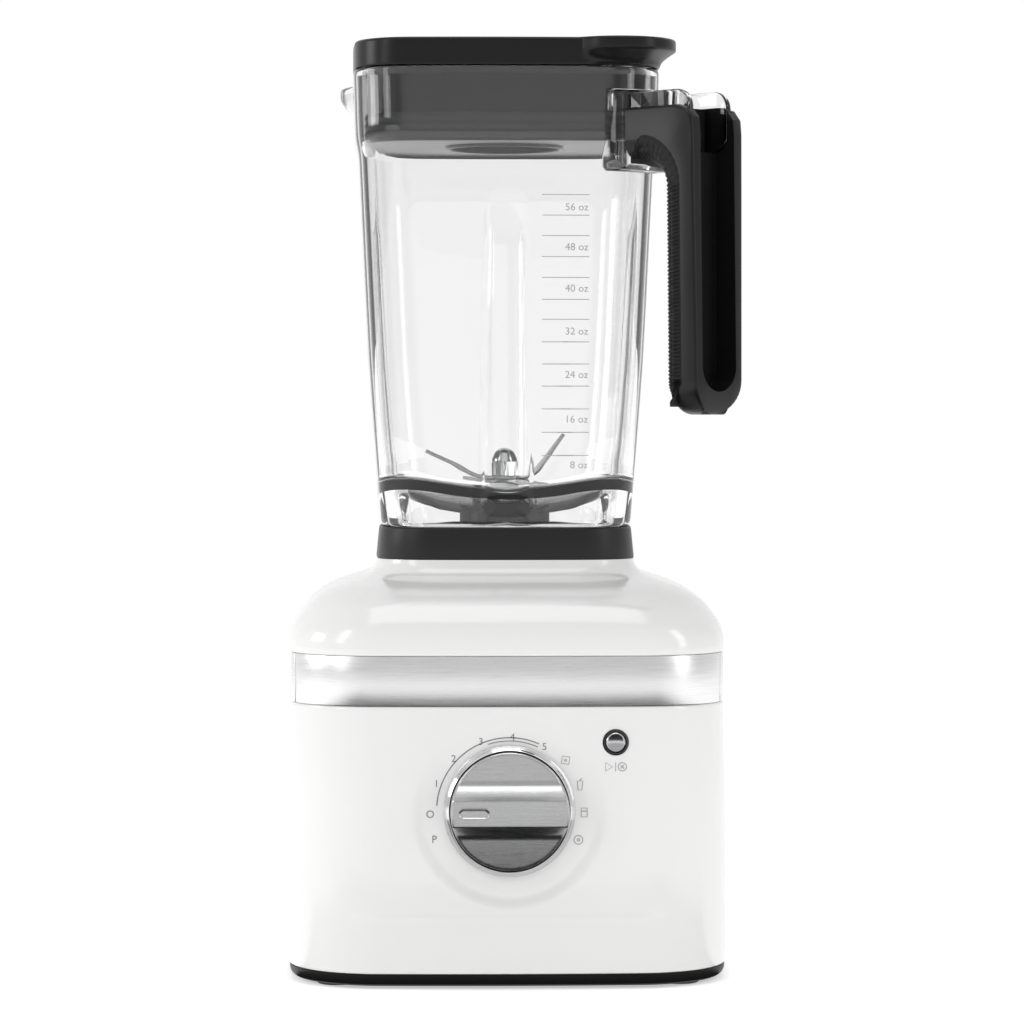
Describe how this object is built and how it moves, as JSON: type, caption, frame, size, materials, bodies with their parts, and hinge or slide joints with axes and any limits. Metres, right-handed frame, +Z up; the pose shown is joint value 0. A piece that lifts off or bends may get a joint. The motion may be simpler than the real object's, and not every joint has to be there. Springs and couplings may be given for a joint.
{
  "type": "countertop blender",
  "caption": "Countertop blender with a rounded square motor base, clear fluted jar with corner handle, blade assembly, dial, start button and lid with cup.",
  "frame": {"origin": "where the drive axis meets the surface the base stands on", "axes": "+Z up along the drive axis, -Y the front with the dial, +X the right-hand side; the handle is on the diagonal between +X and -Y"},
  "size_m": [0.2021, 0.2172, 0.4169],
  "materials": {
    "white_housing": "glossy white enamel",
    "black_satin": "satin moulded black",
    "black_gloss": "glossy black",
    "brushed_band": "brushed lengthways",
    "brushed_knob": "brushed",
    "chrome_trim": "polished",
    "clear_jar": "clear moulded",
    "blade_steel": "ground steel",
    "bearing_steel": "polished steel",
    "soft_rubber": "soft moulded",
    "seal_rubber": "soft seal",
    "lamination_steel": "stacked sheet",
    "copper_winding": "enamelled copper",
    "die_cast": "die cast",
    "carbon": "pressed carbon",
    "circuit_board": "lacquered board",
    "grey_plastic": "moulded",
    "zinc_screw": "zinc plated",
    "spring_steel": "drawn wire"
  },
  "bodies": {
    "base": {"base_plate": "black_satin", "rubber_feet": "soft_rubber", "base_screws": "zinc_screw", "lower_housing": "white_housing", "rear_grille": "black_satin", "cord_gland": "soft_rubber", "band_front": "brushed_band", "band_rear": "brushed_band", "upper_housing": "white_housing", "jar_pad": "black_satin", "dial_bezel": "chrome_trim", "encoder_body": "grey_plastic", "control_board": "circuit_board", "button_bezel": "black_gloss", "button_spring": "spring_steel", "button_switch": "grey_plastic", "power_board": "circuit_board", "motor_stator": "lamination_steel", "field_coils": "copper_winding", "motor_bottom_bracket": "die_cast", "motor_top_bracket": "die_cast", "lower_bearing": "bearing_steel", "upper_bearing": "bearing_steel", "brush_holders": "grey_plastic", "carbon_brushes": "carbon", "motor_dampers": "soft_rubber", "motor_screws": "zinc_screw", "air_baffle": "grey_plastic"},
    "rotor": {"motor_shaft": "bearing_steel", "armature_core": "lamination_steel", "armature_windings": "copper_winding", "commutator": "copper_winding", "cooling_fan": "grey_plastic", "drive_coupler": "black_satin"},
    "dial": {"dial_knob": "brushed_knob", "dial_shaft": "grey_plastic"},
    "button": {"start_button": "brushed_knob"},
    "jar": {"jar_body": "clear_jar", "jar_floor": "clear_jar", "handle_grip": "black_satin", "handle_ribs": "soft_rubber", "handle_screw": "zinc_screw", "blade_bearing_housing": "blade_steel", "blade_bushes": "die_cast", "blade_seal": "seal_rubber", "retaining_ring": "black_satin"},
    "blades": {"driven_coupler": "black_satin", "blade_shaft": "bearing_steel", "blade_spacer": "blade_steel", "lower_blade": "blade_steel", "upper_blade": "blade_steel", "blade_nut": "chrome_trim"},
    "lid": {"lid_shell": "black_satin", "lid_plug": "black_satin", "lid_gasket": "seal_rubber"},
    "cup": {"ingredient_cup": "black_satin", "cup_seal": "seal_rubber"}
  },
  "joints": [
    {"name": "motor_spin", "type": "hinge", "parent": "base", "child": "rotor", "pos_m": [0, 0, 0], "axis": [0, 0, 1], "continuous": true},
    {"name": "dial_turn", "type": "hinge", "parent": "base", "child": "dial", "pos_m": [0, -0.1, 0.0775], "axis": [0, 1, 0], "range_deg": [-20, 202]},
    {"name": "button_press", "type": "slide", "parent": "base", "child": "button", "axis": [0, 1, 0], "range_m": [0, 0.0015], "stiffness_N_per_m": 1500, "springref_m": -0.0005, "deforming": ["button_spring"]},
    {"name": "jar_lift", "type": "slide", "parent": "base", "child": "jar", "axis": [0, 0, 1], "range_m": [0, 0.06]},
    {"name": "blade_spin", "type": "hinge", "parent": "jar", "child": "blades", "pos_m": [0, 0, 0], "axis": [0, 0, 1], "continuous": true},
    {"name": "lid_lift", "type": "slide", "parent": "jar", "child": "lid", "axis": [0, 0, 1], "range_m": [0, 0.06]},
    {"name": "cup_lift", "type": "slide", "parent": "lid", "child": "cup", "axis": [0, 0, 1], "range_m": [0, 0.06]}
  ],
  "couplings": [
    {"joint": "blade_spin", "follows": "motor_spin", "ratio": 1}
  ]
}
